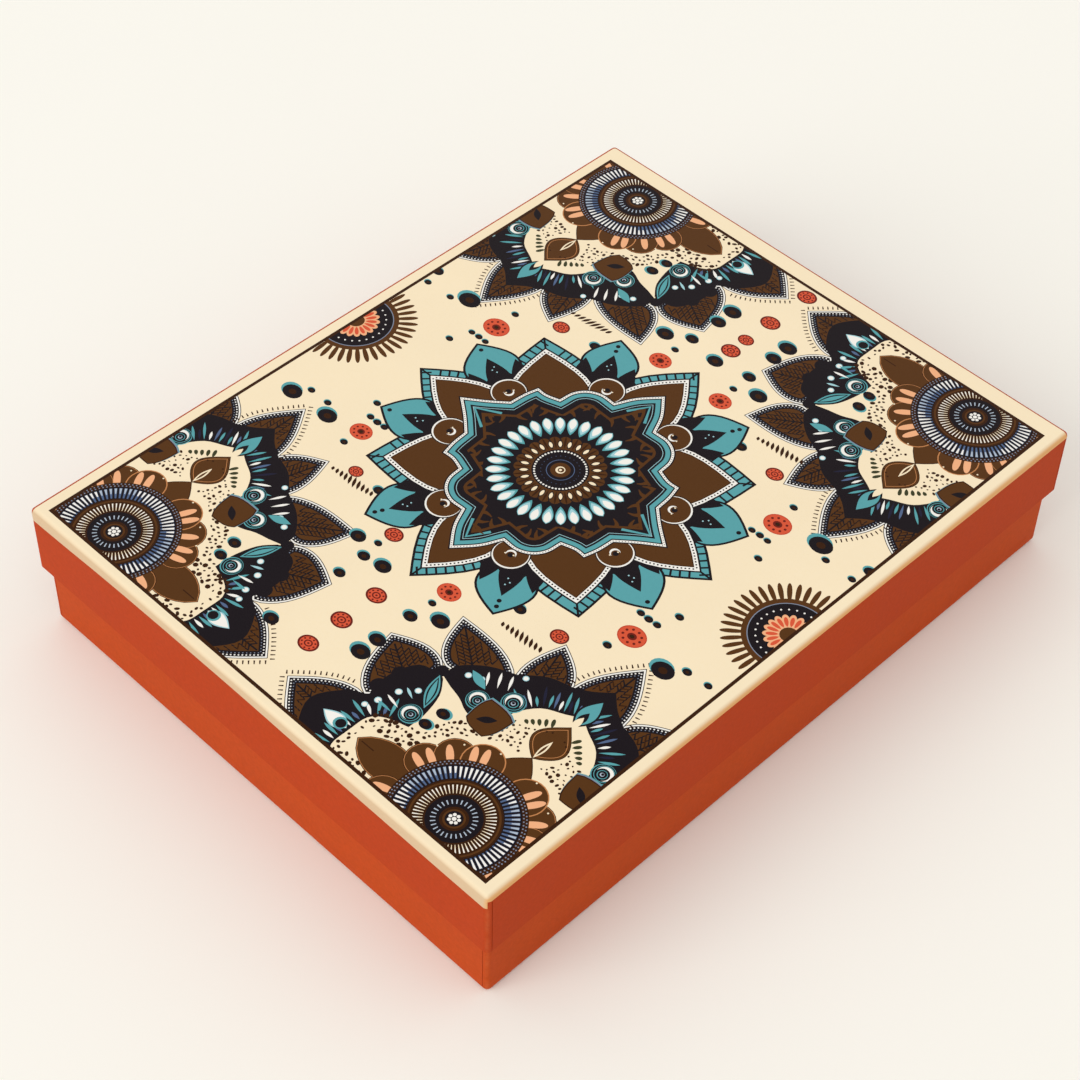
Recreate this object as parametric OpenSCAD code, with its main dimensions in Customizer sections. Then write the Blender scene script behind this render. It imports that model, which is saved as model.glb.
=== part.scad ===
// Rigid two-piece sweet box: a scored greyboard tray and a lift-off lid that telescopes over it,
// both covered in folded paper. X runs along the short side, Y along the long side, Z up.
// The origin is the middle of the underside.

/* [Closed box] */
// Outer width of the closed box, along X
box_w = 160; // [120:1:220]
// Outer length of the closed box, along Y
box_l = 205; // [150:1:280]
// Outer height of the closed box
box_h = 40; // [32:1:70]
// Height of the lid's skirt, from the top of the print sheet down to the lid's rim
skirt_h = 20.5; // [18:0.5:28]
// Gap between the tray's outside and the inside of the lid's skirt, on each side
lid_clear = 0.25; // [0.15:0.05:0.8]

/* [Board] */
// Thickness of the greyboard, which is also the radius of its folded edges
board_t = 1.2; // [0.9:0.1:2]
// Open joint between two walls of the folded blank at a corner
wall_joint = 0.2; // [0.1:0.05:0.5]
// Depth of the half-cut score along the inside of each fold
score_depth = 0.3; // [0.1:0.05:0.5]
// Width of the half-cut score
score_w = 0.4; // [0.2:0.05:0.8]

/* [Corner stays] */
// Thickness of the kraft stay paper
stay_t = 0.12; // [0.08:0.01:0.2]
// Length of each leg of a stay, measured from the corner
stay_leg = 14; // [8:1:20]
// How far a stay stops short of the board's rim
stay_short = 1; // [0.5:0.5:3]

/* [Cover paper] */
// Thickness of the cover paper
wrap_t = 0.15; // [0.1:0.01:0.2]
// Depth of the cover paper turned in over the tray's rim
tray_turn_in = 12; // [6:1:16]
// Depth of the cover paper turned in over the lid's rim
lid_turn_in = 14; // [8:1:16]
// Width of the butt seam where two flaps of cover paper meet
seam_w = 0.15; // [0.1:0.05:0.3]
// Width of the paper turned under the tray
turn_under = 15; // [10:1:25]
// How far the bottom sheet stops short of the tray's sides
bottom_margin = 3; // [2:0.5:8]

/* [Lining paper] */
// Thickness of the lining paper
lining_t = 0.12; // [0.08:0.01:0.2]
// How far the tray's lining laps over the turned-in cover paper
lining_lap = 4; // [2:0.5:5]
// Play around each sheet of lining
lining_play = 0.3; // [0.2:0.1:1]

/* [Print sheet] */
// Thickness of the printed sheet on the lid
sheet_t = 0.15; // [0.1:0.01:0.2]
// How far the sheet rolls down the front side, at -Y
drop_front = 3.5; // [2:0.1:6]
// How far the sheet rolls down the right side, at +X
drop_right = 1.4; // [0.5:0.1:6]
// How far the sheet stops short of the other two edges
sheet_short = 0.45; // [0.1:0.05:1.2]
// Radius of the sheet's trimmed corners
sheet_corner = 2; // [1:0.1:4]

/* [Hidden] */
$fn = 48;

// Corners as seen from above and in front: [sign of x, sign of y]
LEFT = [-1, -1];
FRONT = [1, -1];
RIGHT = [1, 1];
FAR = [-1, 1];
CORNERS = [LEFT, FRONT, RIGHT, FAR];

// Which faces of a shell carry the butt seams: the ends face +-Y, the sides face +-X
ON_ENDS = [0, 1];
ON_SIDES = [1, 0];

// Overrun of a cutting shape past what it cuts
over = 2;
// Wall of the tray or lid: board between two layers of cover paper
wall_t = board_t + 2 * wrap_t;
// Outer radius of every folded edge
fold_r = board_t + wrap_t;
// Width that a stay's crease cuts off the corner, outside and inside
crease_out = board_t - wrap_t;
crease_in = crease_out - stay_t * (2 - sqrt(2));
// A butt seam's middle, measured from the corner: it lies on the flat, just past the fold
seam_in = fold_r + seam_w;
// Its depth: the knife goes through the flap and half way into the tab under it
seam_d = wrap_t + wrap_t / 2;

// Lid shell, modelled upside down like a tray, without the print sheet
lid_shell = [box_w, box_l, skirt_h - sheet_t];
lid_top_z = box_h - sheet_t;
lid_inner_z = lid_top_z - wrap_t - board_t - lining_t;
// The tray stands in from the lid by the lid's wall and the running gap, rests on the bottom
// sheet and carries the lid's lining on its rim
base_shell = [
    box_w - 2 * (wall_t + lid_clear),
    box_l - 2 * (wall_t + lid_clear),
    lid_inner_z - wrap_t
];

BOARD_COLOR = [0.70, 0.66, 0.60];
KRAFT_COLOR = [0.72, 0.55, 0.36];
WRAP_COLOR = [0.76, 0.29, 0.15];
LINING_COLOR = [0.95, 0.92, 0.85];
PRINT_COLOR = [0.98, 0.91, 0.78];

// Flat shapes

module rounded_rect(w, l, r) {
    square([w - 2 * r, l], center = true);
    square([w, l - 2 * r], center = true);
    for (c = CORNERS)
        translate([c.x * (w / 2 - r), c.y * (l / 2 - r)])
            circle(r = r);
}

// A rectangle whose corners are cut off at 45 degrees
module creased_rect(w, l, crease) {
    difference() {
        square([w, l], center = true);
        for (c = CORNERS)
            translate([c.x * w / 2, c.y * l / 2])
                rotate(45)
                    square(crease * sqrt(2), center = true);
    }
}

// The square at one corner that a stay or a tab reaches over
module corner_zone(s, c) {
    translate([c.x * (s.x / 2 - stay_leg / 2 + over / 2), c.y * (s.y / 2 - stay_leg / 2 + over / 2)])
        square(stay_leg + over, center = true);
}

// Solid shapes

// A block whose four upright edges and four bottom edges are rounded alike
module folded_block(w, l, h, r) {
    translate([0, 0, r])
        linear_extrude(h - r)
            rounded_rect(w, l, r);
    translate([0, 0, r / 2])
        cube([w - 2 * r, l - 2 * r, r], center = true);
    for (c = CORNERS)
        translate([c.x * (w / 2 - r), c.y * (l / 2 - r), r])
            sphere(r = r);
    for (s = [-1, 1]) {
        translate([s * (w / 2 - r), 0, r])
            rotate([90, 0, 0])
                cylinder(r = r, h = l - 2 * r, center = true);
        translate([0, s * (l / 2 - r), r])
            rotate([0, 90, 0])
                cylinder(r = r, h = w - 2 * r, center = true);
    }
}

// A square-cornered ring from z0 to z1, inset by d from the shell's outside and t wide
module square_ring(s, d, t, z0, z1) {
    translate([0, 0, z0])
        linear_extrude(z1 - z0)
            difference() {
                square([s.x - 2 * d, s.y - 2 * d], center = true);
                square([s.x - 2 * (d + t), s.y - 2 * (d + t)], center = true);
            }
}

// Top of the stays, measured in the shell's own frame
function stay_top(s) = s.z - wrap_t - stay_short;

// Depth of the stays below the shell's outside, on its side and end faces. Where the faces
// carry the seams, a tab of cover paper lies over the stay.
function stay_depth(seam) = [wrap_t * (1 + seam.x), wrap_t * (1 + seam.y)];

// What pressing takes off the board at its corners, down to depth d
module pressed_corners(s, d, crease) {
    translate([0, 0, fold_r])
        linear_extrude(stay_top(s) - fold_r)
            for (c = CORNERS)
                difference() {
                    corner_zone(s, c);
                    creased_rect(s.x - 2 * d.x, s.y - 2 * d.y, crease);
                }
}

// The board's outer form under the cover paper, without its corners' pressing
module board_block(s) {
    translate([0, 0, wrap_t])
        folded_block(s.x - 2 * wrap_t, s.y - 2 * wrap_t, s.z - 2 * wrap_t, board_t);
}

// A slit through paper along the diagonal of each corner, from depth d0 to d1 and from z0 to z1
module mitre_cuts(s, d0, d1, z0, z1) {
    for (c = CORNERS)
        translate([c.x * (s.x - d0 - d1) / 2, c.y * (s.y - d0 - d1) / 2, (z0 + z1) / 2])
            rotate([0, 0, 45 * c.x * c.y])
                cube([(d1 - d0) * sqrt(2), seam_w, z1 - z0], center = true);
}

// One blank of greyboard with four walls folded up along half-cut scores
module folded_board(s, seam) {
    inner = [s.x - 2 * (wrap_t + board_t), s.y - 2 * (wrap_t + board_t)];
    floor_z = wrap_t + board_t;
    d = stay_depth(seam);
    joint_w = wrap_t + board_t - d.y - stay_t - wrap_t;
    difference() {
        board_block(s);
        translate([0, 0, floor_z])
            linear_extrude(s.z)
                square(inner, center = true);
        pressed_corners(s, [d.x + stay_t, d.y + stay_t], crease_in);
        for (c = CORNERS)
            translate([c.x * (inner.x - wall_joint) / 2, c.y * (inner.y + joint_w) / 2, floor_z + s.z / 2])
                cube([wall_joint, joint_w + wrap_t, s.z], center = true);
        for (k = [-1, 1]) {
            translate([k * (inner.x - score_w) / 2, 0, floor_z])
                cube([score_w, inner.y, 2 * score_depth], center = true);
            translate([0, k * (inner.y - score_w) / 2, floor_z])
                cube([inner.x, score_w, 2 * score_depth], center = true);
        }
    }
}

// Stay paper folded round one upright edge of the board
module corner_stay(s, seam, c) {
    d = stay_depth(seam);
    translate([0, 0, fold_r])
        linear_extrude(stay_top(s) - fold_r)
            intersection() {
                difference() {
                    creased_rect(s.x - 2 * d.x, s.y - 2 * d.y, crease_out);
                    creased_rect(s.x - 2 * (d.x + stay_t), s.y - 2 * (d.y + stay_t), crease_in);
                }
                corner_zone(s, c);
            }
}

// Cover paper folded over a board: outside, over the rim and turned in. Two opposite flaps carry
// tabs that go round the corners under the other two flaps, which end in a butt seam there.
module cover_paper(s, seam, turn_in) {
    d = stay_depth(seam);
    mitre_d0 = wrap_t + board_t / 2 + seam_w;
    mitre_d1 = wall_t + seam_w;
    difference() {
        folded_block(s.x, s.y, s.z, fold_r);
        // the board and its stays
        difference() {
            board_block(s);
            pressed_corners(s, d, crease_out);
        }
        // the mouth, inside the turned-in paper
        translate([0, 0, s.z - turn_in])
            linear_extrude(turn_in + over)
                square([s.x - 2 * wall_t, s.y - 2 * wall_t], center = true);
        // the butt seams
        for (c = CORNERS)
            translate([
                c.x * (s.x / 2 - (seam.x == 1 ? 0 : seam_in)),
                c.y * (s.y / 2 - (seam.y == 1 ? 0 : seam_in)),
                seam_in + s.z / 2
            ])
                cube([seam.x == 1 ? 2 * seam_d : seam_w, seam.y == 1 ? 2 * seam_d : seam_w, s.z], center = true);
        mitre_cuts(s, mitre_d0, mitre_d1, s.z - turn_in - over, s.z + over);
    }
    difference() {
        square_ring(s, wrap_t + board_t, wrap_t, s.z - turn_in, s.z - wrap_t);
        mitre_cuts(s, mitre_d0, mitre_d1, s.z - turn_in - over, s.z + over);
    }
}

// The lid's pieces are modelled as a tray and turned over
module turned_over() {
    translate([0, 0, lid_top_z])
        mirror([0, 0, 1])
            children();
}

module raised_tray() {
    translate([0, 0, wrap_t])
        children();
}

// Tray

module base_board() {
    color(BOARD_COLOR)
        raised_tray()
            folded_board(base_shell, ON_ENDS);
}

module base_corner_stay(c) {
    color(KRAFT_COLOR)
        raised_tray()
            corner_stay(base_shell, ON_ENDS, c);
}

// The tray's cover paper stops under the floor, where the bottom sheet hides its edges
module base_wrap() {
    under = [base_shell.x - 2 * turn_under, base_shell.y - 2 * turn_under];
    color(WRAP_COLOR)
        raised_tray()
            difference() {
                cover_paper(base_shell, ON_ENDS, tray_turn_in);
                cube([under.x, under.y, 2 * wrap_t], center = true);
            }
}

module base_bottom_sheet() {
    color(WRAP_COLOR)
        linear_extrude(wrap_t)
            square(
                [
                    base_shell.x - 2 * bottom_margin,
                    base_shell.y - 2 * bottom_margin
                ],
                center = true
            );
}

// Lining pasted over the floor and up the walls, lapped over the turned-in paper
module base_lining() {
    s = base_shell;
    floor_z = wrap_t + board_t;
    wall_d = wrap_t + board_t;
    turn_z = s.z - tray_turn_in - lining_play;
    lap_z = s.z - tray_turn_in + lining_lap;
    color(LINING_COLOR)
        raised_tray()
            difference() {
                union() {
                    square_ring(s, wall_d, lining_t, floor_z, turn_z);
                    square_ring(s, wall_d, wrap_t + lining_t, turn_z - lining_t, turn_z);
                    square_ring(s, wall_d + wrap_t, lining_t, turn_z - lining_t, lap_z);
                    translate([0, 0, floor_z])
                        linear_extrude(lining_t)
                            square([s.x - 2 * wall_d, s.y - 2 * wall_d], center = true);
                }
                mitre_cuts(s, wall_d - seam_w, wall_d + wrap_t + 2 * lining_t, floor_z + lining_t, s.z);
            }
}

// Lid

module lid_board() {
    color(BOARD_COLOR)
        turned_over()
            folded_board(lid_shell, ON_SIDES);
}

module lid_corner_stay(c) {
    color(KRAFT_COLOR)
        turned_over()
            corner_stay(lid_shell, ON_SIDES, c);
}

module lid_wrap() {
    color(WRAP_COLOR)
        turned_over()
            cover_paper(lid_shell, ON_SIDES, lid_turn_in);
}

module lid_lining() {
    d = wrap_t + board_t + wrap_t + lining_play;
    color(LINING_COLOR)
        turned_over()
            translate([0, 0, wrap_t + board_t])
                linear_extrude(lining_t)
                    square([lid_shell.x - 2 * d, lid_shell.y - 2 * d], center = true);
}

// Printed sheet laid over the lid's top and rolled down over the front and right edges. It is
// laid a little off square, so a line of cover paper shows along the other two edges.
module lid_top_print() {
    left_x = -box_w / 2 + sheet_short;
    far_y = box_l / 2 - sheet_short;
    // the front flap ends halfway round the upright corner
    corner_x = box_w / 2 - fold_r * (1 - cos(45));
    block_h = drop_front + drop_right + fold_r;
    color(PRINT_COLOR)
        intersection() {
            difference() {
                translate([0, 0, box_h])
                    mirror([0, 0, 1])
                        folded_block(box_w + 2 * sheet_t, box_l + 2 * sheet_t, block_h, fold_r + sheet_t);
                turned_over()
                    folded_block(box_w, box_l, box_h, fold_r);
            }
            union() {
                translate([left_x, -box_l / 2 - over, box_h - drop_right])
                    linear_extrude(drop_right + over)
                        sheet_plan(box_w + over, far_y + box_l / 2 + over);
                translate([left_x, -box_l / 2 - over, box_h - drop_front])
                    cube([corner_x - left_x, over + fold_r, drop_front + over]);
            }
        }
}

// A rectangle from the origin whose corner at the far left is trimmed round
module sheet_plan(w, l) {
    square([w, l - sheet_corner]);
    translate([sheet_corner, 0])
        square([w - sheet_corner, l]);
    translate([sheet_corner, l - sheet_corner])
        circle(r = sheet_corner);
}

base_board();
base_corner_stay(LEFT);  // base_corner_stay_left
base_corner_stay(FRONT);  // base_corner_stay_front
base_corner_stay(RIGHT);  // base_corner_stay_right
base_corner_stay(FAR);  // base_corner_stay_far
base_wrap();
base_bottom_sheet();
base_lining();
lid_board();
lid_corner_stay(LEFT);  // lid_corner_stay_left
lid_corner_stay(FRONT);  // lid_corner_stay_front
lid_corner_stay(RIGHT);  // lid_corner_stay_right
lid_corner_stay(FAR);  // lid_corner_stay_far
lid_wrap();
lid_lining();
lid_top_print();
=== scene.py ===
"""The looks of a two-piece sweet box: cover paper, lining, board and a printed sheet on the lid."""

import cmath
import math
import random

import bmesh
import bpy
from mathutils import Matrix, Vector
from mathutils.geometry import delaunay_2d_cdt


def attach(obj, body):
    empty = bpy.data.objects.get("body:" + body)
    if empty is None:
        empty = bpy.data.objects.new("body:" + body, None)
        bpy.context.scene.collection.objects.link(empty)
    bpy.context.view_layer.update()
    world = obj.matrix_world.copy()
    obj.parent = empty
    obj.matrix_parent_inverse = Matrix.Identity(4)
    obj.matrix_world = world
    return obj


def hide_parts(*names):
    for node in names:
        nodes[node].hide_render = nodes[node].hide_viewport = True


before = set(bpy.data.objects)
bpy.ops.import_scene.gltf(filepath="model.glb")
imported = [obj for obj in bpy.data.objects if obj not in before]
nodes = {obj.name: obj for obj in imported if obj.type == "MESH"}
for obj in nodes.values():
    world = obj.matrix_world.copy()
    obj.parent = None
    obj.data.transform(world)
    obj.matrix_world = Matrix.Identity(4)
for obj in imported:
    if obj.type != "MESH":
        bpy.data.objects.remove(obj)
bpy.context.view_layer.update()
random.seed(11)

MM = 0.001
TURN = math.tau


# ---------------------------------------------------------------- camera, floor and light


def srgb(red, green, blue):
    """The linear colour of an 8-bit sRGB one, opaque."""
    line = []
    for c in (red, green, blue):
        c /= 255
        line.append(c / 12.92 if c <= 0.04045 else ((c + 0.055) / 1.055) ** 2.4)
    return (*line, 1)


def make_camera(place, turn, lens):
    """The camera at a place in metres, turned by Euler angles in degrees."""
    data = bpy.data.cameras.new("camera")
    data.lens = lens
    data.clip_start, data.clip_end = 0.05, 20
    camera = bpy.data.objects.new("camera", data)
    camera.location = place
    camera.rotation_euler = [math.radians(a) for a in turn]
    bpy.context.scene.collection.objects.link(camera)
    bpy.context.scene.camera = camera


def make_lamp(name, place, power, size, colour=(1, 1, 1)):
    """A square soft lamp, aimed at the box."""
    data = bpy.data.lights.new(name, "AREA")
    data.energy, data.size, data.color = power, size, colour
    lamp = bpy.data.objects.new(name, data)
    lamp.location = place
    aim = Vector((0, 0, 0.02)) - Vector(place)
    lamp.rotation_euler = aim.to_track_quat("-Z", "Y").to_euler()
    bpy.context.scene.collection.objects.link(lamp)


def new_node(tree, kind, inputs=None, **settings):
    """Adds a shader node. An input is a value or another node's output."""
    made = tree.nodes.new("ShaderNode" + kind)
    for name, value in settings.items():
        setattr(made, name, value)
    for name, value in (inputs or {}).items():
        socket = made.inputs[name]
        if isinstance(value, bpy.types.NodeSocket):
            tree.links.new(value, socket)
        else:
            socket.default_value = value
    return made


def maths(tree, operation, *values, clamp=False):
    """The output of a Math node on up to three values."""
    made = new_node(
        tree, "Math", dict(enumerate(values)), operation=operation, use_clamp=clamp
    )
    return made.outputs[0]


def blended(tree, share, one, two, how="MIX"):
    """Two colours blended by a share from 0 to 1."""
    made = new_node(tree, "Mix", data_type="RGBA", blend_type=how)
    for name, value in (("Factor", share), ("A", one), ("B", two)):
        socket = next(s for s in made.inputs if s.name == name and s.enabled)
        if isinstance(value, bpy.types.NodeSocket):
            tree.links.new(value, socket)
        else:
            socket.default_value = value
    return next(s for s in made.outputs if s.enabled)


BACKDROP = srgb(253, 247, 237)


def make_stage():
    """A pale floor that keeps the shadow, under a pale sky."""
    scene = bpy.context.scene
    scene.view_settings.view_transform = "Standard"
    world = bpy.data.worlds.new("sky")
    scene.world = world
    world.use_nodes = True
    tree = world.node_tree
    tree.nodes.clear()
    path = new_node(tree, "LightPath").outputs
    seen = maths(tree, "ADD", path["Is Camera Ray"], path["Is Glossy Ray"])
    seen = maths(tree, "ADD", seen, path["Is Transmission Ray"], clamp=True)
    light = new_node(
        tree, "Background", {"Color": (1, 0.985, 0.96, 1), "Strength": SKY_LIGHT}
    )
    plain = new_node(tree, "Background", {"Color": BACKDROP, "Strength": 1})
    shown = new_node(
        tree, "MixShader", {0: seen, 1: light.outputs[0], 2: plain.outputs[0]}
    )
    new_node(tree, "OutputWorld", {"Surface": shown.outputs[0]})

    mesh = bpy.data.meshes.new("floor")
    r = 6
    mesh.from_pydata([(-r, -r, 0), (r, -r, 0), (r, r, 0), (-r, r, 0)], [], [(0, 1, 2, 3)])
    floor = bpy.data.objects.new("floor", mesh)
    scene.collection.objects.link(floor)
    material = bpy.data.materials.new("floor")
    material.use_nodes = True
    tree = material.node_tree
    shader = tree.nodes["Principled BSDF"]
    shader.inputs["Roughness"].default_value = 0.9
    shader.inputs["Specular IOR Level"].default_value = 0.2
    speckle = new_node(tree, "TexNoise", {"Scale": 60, "Detail": 3}).outputs["Fac"]
    tint = blended(tree, speckle, srgb(250, 249, 242), srgb(253, 252, 246))
    tree.links.new(tint, shader.inputs["Base Color"])
    mesh.materials.append(material)


SKY_LIGHT = 0.84

make_camera((0.29647, -0.31477, 0.48003), (42.8298, -1.1314, 45.0971), 82.99)
make_stage()
make_lamp("key", (-1.2, -5.8, 3.18), 172, 4.8, (1, 0.97, 0.93))


# ---------------------------------------------------------------- papers and board


def paper(name, colour, dark, light, grain=0.25, rough=0.62, relief=0.12, fleck=None):
    """A paper or board: mottled colour, fibres, and a rough and slightly uneven face.

    Returns the material, its tree, its shader and the colour so far."""
    material = bpy.data.materials.new(name)
    material.use_nodes = True
    tree = material.node_tree
    shader = tree.nodes["Principled BSDF"]
    place = new_node(tree, "TexCoord").outputs["Object"]
    cloud = new_node(
        tree, "TexNoise", {"Vector": place, "Scale": 28, "Detail": 4, "Roughness": 0.6}
    ).outputs["Fac"]
    fine = new_node(
        tree, "TexNoise", {"Vector": place, "Scale": 900, "Detail": 3, "Roughness": 0.7}
    ).outputs["Fac"]
    fibre = new_node(
        tree,
        "TexNoise",
        {"Vector": place, "Scale": 420, "Detail": 2, "Distortion": 2.5},
    ).outputs["Fac"]
    tone = blended(tree, cloud, dark, light)
    tone = blended(tree, 0.5, colour, tone)
    tone = blended(
        tree,
        grain,
        tone,
        blended(tree, fine, (0.25, 0.25, 0.25, 1), (0.75, 0.75, 0.75, 1)),
        "OVERLAY",
    )
    if fleck:
        spots = new_node(
            tree, "TexNoise", {"Vector": place, "Scale": 650, "Detail": 1}
        ).outputs["Fac"]
        spots = new_node(
            tree, "MapRange", {"Value": spots, "From Min": 0.66, "From Max": 0.72}
        ).outputs[0]
        tone = blended(tree, spots, tone, fleck)
    uneven = new_node(
        tree,
        "MapRange",
        {"Value": cloud, "To Min": rough - 0.07, "To Max": rough + 0.07},
    ).outputs[0]
    tree.links.new(uneven, shader.inputs["Roughness"])
    height = maths(tree, "MULTIPLY_ADD", fibre, 0.6, fine)
    bump = new_node(
        tree,
        "Bump",
        {"Height": height, "Strength": relief, "Distance": 0.0002},
    ).outputs[0]
    tree.links.new(bump, shader.inputs["Normal"])
    shader.inputs["Specular IOR Level"].default_value = 0.12
    shader.inputs["Specular Tint"].default_value = light
    shader.inputs["Sheen Weight"].default_value = 0.02
    shader.inputs["Sheen Roughness"].default_value = 0.4
    shader.inputs["Sheen Tint"].default_value = light
    tree.links.new(tone, shader.inputs["Base Color"])
    return material, tree, shader, tone


def edge_distance(tree, half_x, half_y, low, high):
    """How far a point lies from the nearest edge of a box, in metres."""
    place = new_node(tree, "TexCoord").outputs["Object"]
    x, y, z = new_node(tree, "SeparateXYZ", {0: place}).outputs
    dx = maths(tree, "SUBTRACT", half_x, maths(tree, "ABSOLUTE", x))
    dy = maths(tree, "SUBTRACT", half_y, maths(tree, "ABSOLUTE", y))
    dz = maths(
        tree, "MINIMUM", maths(tree, "SUBTRACT", high, z), maths(tree, "SUBTRACT", z, low)
    )
    inner = maths(tree, "MINIMUM", maths(tree, "MAXIMUM", dx, dy), dz)
    return maths(tree, "MAXIMUM", maths(tree, "MINIMUM", dx, dy), inner)


def cover_paper(name, half_x, half_y, low, high, colour, dark, light):
    """Coloured cover paper, a little rubbed along the box's edges and lightened there in patches:
    partly rubbed wear, partly a painted highlight of the rounded edges.
    """
    material, tree, shader, tone = paper(name, colour, dark, light, grain=0.35)
    near = edge_distance(tree, half_x, half_y, low, high)
    rub_and_highlight = new_node(
        tree,
        "MapRange",
        {"Value": near, "From Min": 0.0012, "From Max": 0.0002},
        interpolation_type="SMOOTHSTEP",
    ).outputs[0]
    place = new_node(tree, "TexCoord").outputs["Object"]
    patches = new_node(
        tree, "TexNoise", {"Vector": place, "Scale": 160, "Detail": 4, "Roughness": 0.7}
    ).outputs["Fac"]
    patches = new_node(
        tree, "MapRange", {"Value": patches, "From Min": 0.38, "From Max": 0.72}
    ).outputs[0]
    # painted highlight and rubbed wear: a paler orange laid on in patches within about a millimetre
    # of the box's edges
    share = maths(tree, "MULTIPLY", maths(tree, "MULTIPLY", rub_and_highlight, patches), 0.3)
    tone = blended(tree, share, tone, srgb(228, 138, 90))
    tree.links.new(tone, shader.inputs["Base Color"])
    return material


def dress(material, *names):
    """Gives CAD nodes a material."""
    for name in names:
        slots = nodes[name].data.materials
        slots.clear()
        slots.append(material)


CORNERS = ("left", "front", "right", "far")
dress(
    cover_paper(
        "tray_cover",
        0.07825,
        0.10075,
        0.00015,
        0.03838,
        srgb(184, 71, 25),
        srgb(174, 63, 21),
        srgb(194, 79, 30),
    ),
    "base_wrap",
)
dress(
    cover_paper(
        "lid_cover",
        0.08,
        0.1025,
        0.0175,
        0.03985,
        srgb(176, 61, 21),
        srgb(166, 53, 17),
        srgb(186, 69, 26),
    ),
    "lid_wrap",
)
dress(
    paper("bottom_paper", srgb(176, 60, 22), srgb(164, 51, 17), srgb(187, 69, 28))[0],
    "base_bottom_sheet",
)
dress(
    paper(
        "lining",
        srgb(243, 235, 216),
        srgb(234, 224, 202),
        srgb(250, 244, 230),
        grain=0.15,
        rough=0.72,
    )[0],
    "base_lining",
    "lid_lining",
)
dress(
    paper(
        "greyboard",
        srgb(160, 152, 138),
        srgb(138, 130, 118),
        srgb(180, 172, 158),
        grain=0.6,
        rough=0.85,
        relief=0.4,
        fleck=srgb(92, 86, 78),
    )[0],
    "base_board",
    "lid_board",
)
dress(
    paper(
        "kraft",
        srgb(186, 142, 94),
        srgb(168, 124, 78),
        srgb(202, 160, 112),
        grain=0.5,
        rough=0.75,
        relief=0.25,
        fleck=srgb(128, 90, 54),
    )[0],
    *[f"{part}_corner_stay_{c}" for part in ("base", "lid") for c in CORNERS],
)


# ---------------------------------------------------------------- outlines of the print
# An outline is a list of complex numbers, in millimetres on the flat sheet. Most are drawn
# along the real axis from a motif's middle, and turned into place.


def turned(outline, angle, at=0):
    """The outline turned by an angle in degrees about the motif's middle, then moved."""
    spin = cmath.rect(1, math.radians(angle))
    return [at + z * spin for z in outline]


def disc(radius, at=0, sides=20, flat=1, turn=0):
    """A circle, or an ellipse with flat below 1."""
    ring = [cmath.rect(radius, TURN * k / sides) for k in range(sides)]
    return turned([complex(z.real, z.imag * flat) for z in ring], turn, at)


def mirrored(side):
    """The closed outline with one side as given, above the real axis, from its far end."""
    below = [z.conjugate() for z in reversed(side) if abs(z.imag) > 1e-6]
    return side + below


def leaf(start, end, width, belly=1.0, point=1.0, steps=12):
    """A leaf along the real axis. Width is half the widest part. A belly above 1 lies nearer
    the end, and a point above 1 draws the ends out."""
    side = [complex(end, 0)]
    for k in range(steps - 1, 0, -1):
        t = k / steps
        wide = width * math.sin(math.pi * t**belly) ** point
        side.append(complex(start + (end - start) * t, wide))
    return mirrored(side + [complex(start, 0)])


def drop(start, end, width, steps=9):
    """A teardrop along the real axis, pointed at its start and round at its end."""
    side = [complex(end, 0)]
    for k in range(steps - 1, 0, -1):
        t = math.sin(k / steps * math.pi / 2)
        wide = 1.7 * width * t**0.6 * math.sqrt(1 - t * t)
        side.append(complex(start + (end - start) * t, wide))
    return mirrored(side + [complex(start, 0)])


def curve(*knots, steps=5):
    """A smooth line through the knots."""
    far = [2 * knots[0] - knots[1], *knots, 2 * knots[-1] - knots[-2]]
    line = []
    for a, b, c, d in zip(far, far[1:], far[2:], far[3:]):
        for k in range(steps):
            t = k / steps
            bend = (2 * a - 5 * b + 4 * c - d) * t * t + (3 * b - a - 3 * c + d) * t**3
            line.append((2 * b + (c - a) * t + bend) / 2)
    return line + [complex(knots[-1])]


def four_ways(quarter):
    """The closed outline whose first quarter runs from the real to the imaginary axis."""
    half = quarter + [-z.conjugate() for z in reversed(quarter)][1:]
    return half + [z.conjugate() for z in reversed(half)][1:-1]


def area(outline):
    return sum((a.conjugate() * b).imag for a, b in zip(outline, outline[1:] + outline[:1]))


def gap_to(p, outline):
    """How far a point is from the outline."""
    nearest = 1e9
    for a, b in zip(outline, outline[1:] + outline[:1]):
        u = b - a
        t = ((p - a) * u.conjugate()).real / max(abs(u) ** 2, 1e-12)
        nearest = min(nearest, abs(p - a - u * min(1, max(0, t))))
    return nearest


def inset(outline, by):
    """The outline moved in by a width, or out for a width below 0."""
    if area(outline) < 0:
        outline = outline[::-1]
    moved = []
    for a, b, c in zip(outline[-1:] + outline, outline, outline[1:] + outline[:1]):
        u, v = (b - a) / abs(b - a), (c - b) / abs(c - b)
        middle = u + v
        if abs(middle) < 0.1:
            continue
        inward = 1j * middle / abs(middle)
        lean = max((inward.conjugate() * 1j * u).real, 0.3)
        moved.append(b + inward * by / lean)
    return [p for p in moved if gap_to(p, outline) > 0.97 * abs(by)]


def walk(line, step, closed=True):
    """Points spaced evenly along a line, each with the line's direction."""
    line = list(line) + (list(line[:1]) if closed else [])
    left, found = step / 2, []
    for a, b in zip(line, line[1:]):
        length = abs(b - a)
        while left < length:
            found.append((a + (b - a) * left / length, (b - a) / length))
            left += step
        left -= length
    return found


def stroke(line, wide, tip=None):
    """A pen stroke along a line, from one width to another, rounded to its ends."""
    tip = wide if tip is None else tip
    left, right = [], []
    for k, z in enumerate(line):
        u = line[min(k + 1, len(line) - 1)] - line[max(k - 1, 0)]
        w = (wide + (tip - wide) * k / (len(line) - 1)) / 2 * u / abs(u) * 1j
        left.append(z + w)
        right.append(z - w)
    return right + left[::-1]


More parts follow.
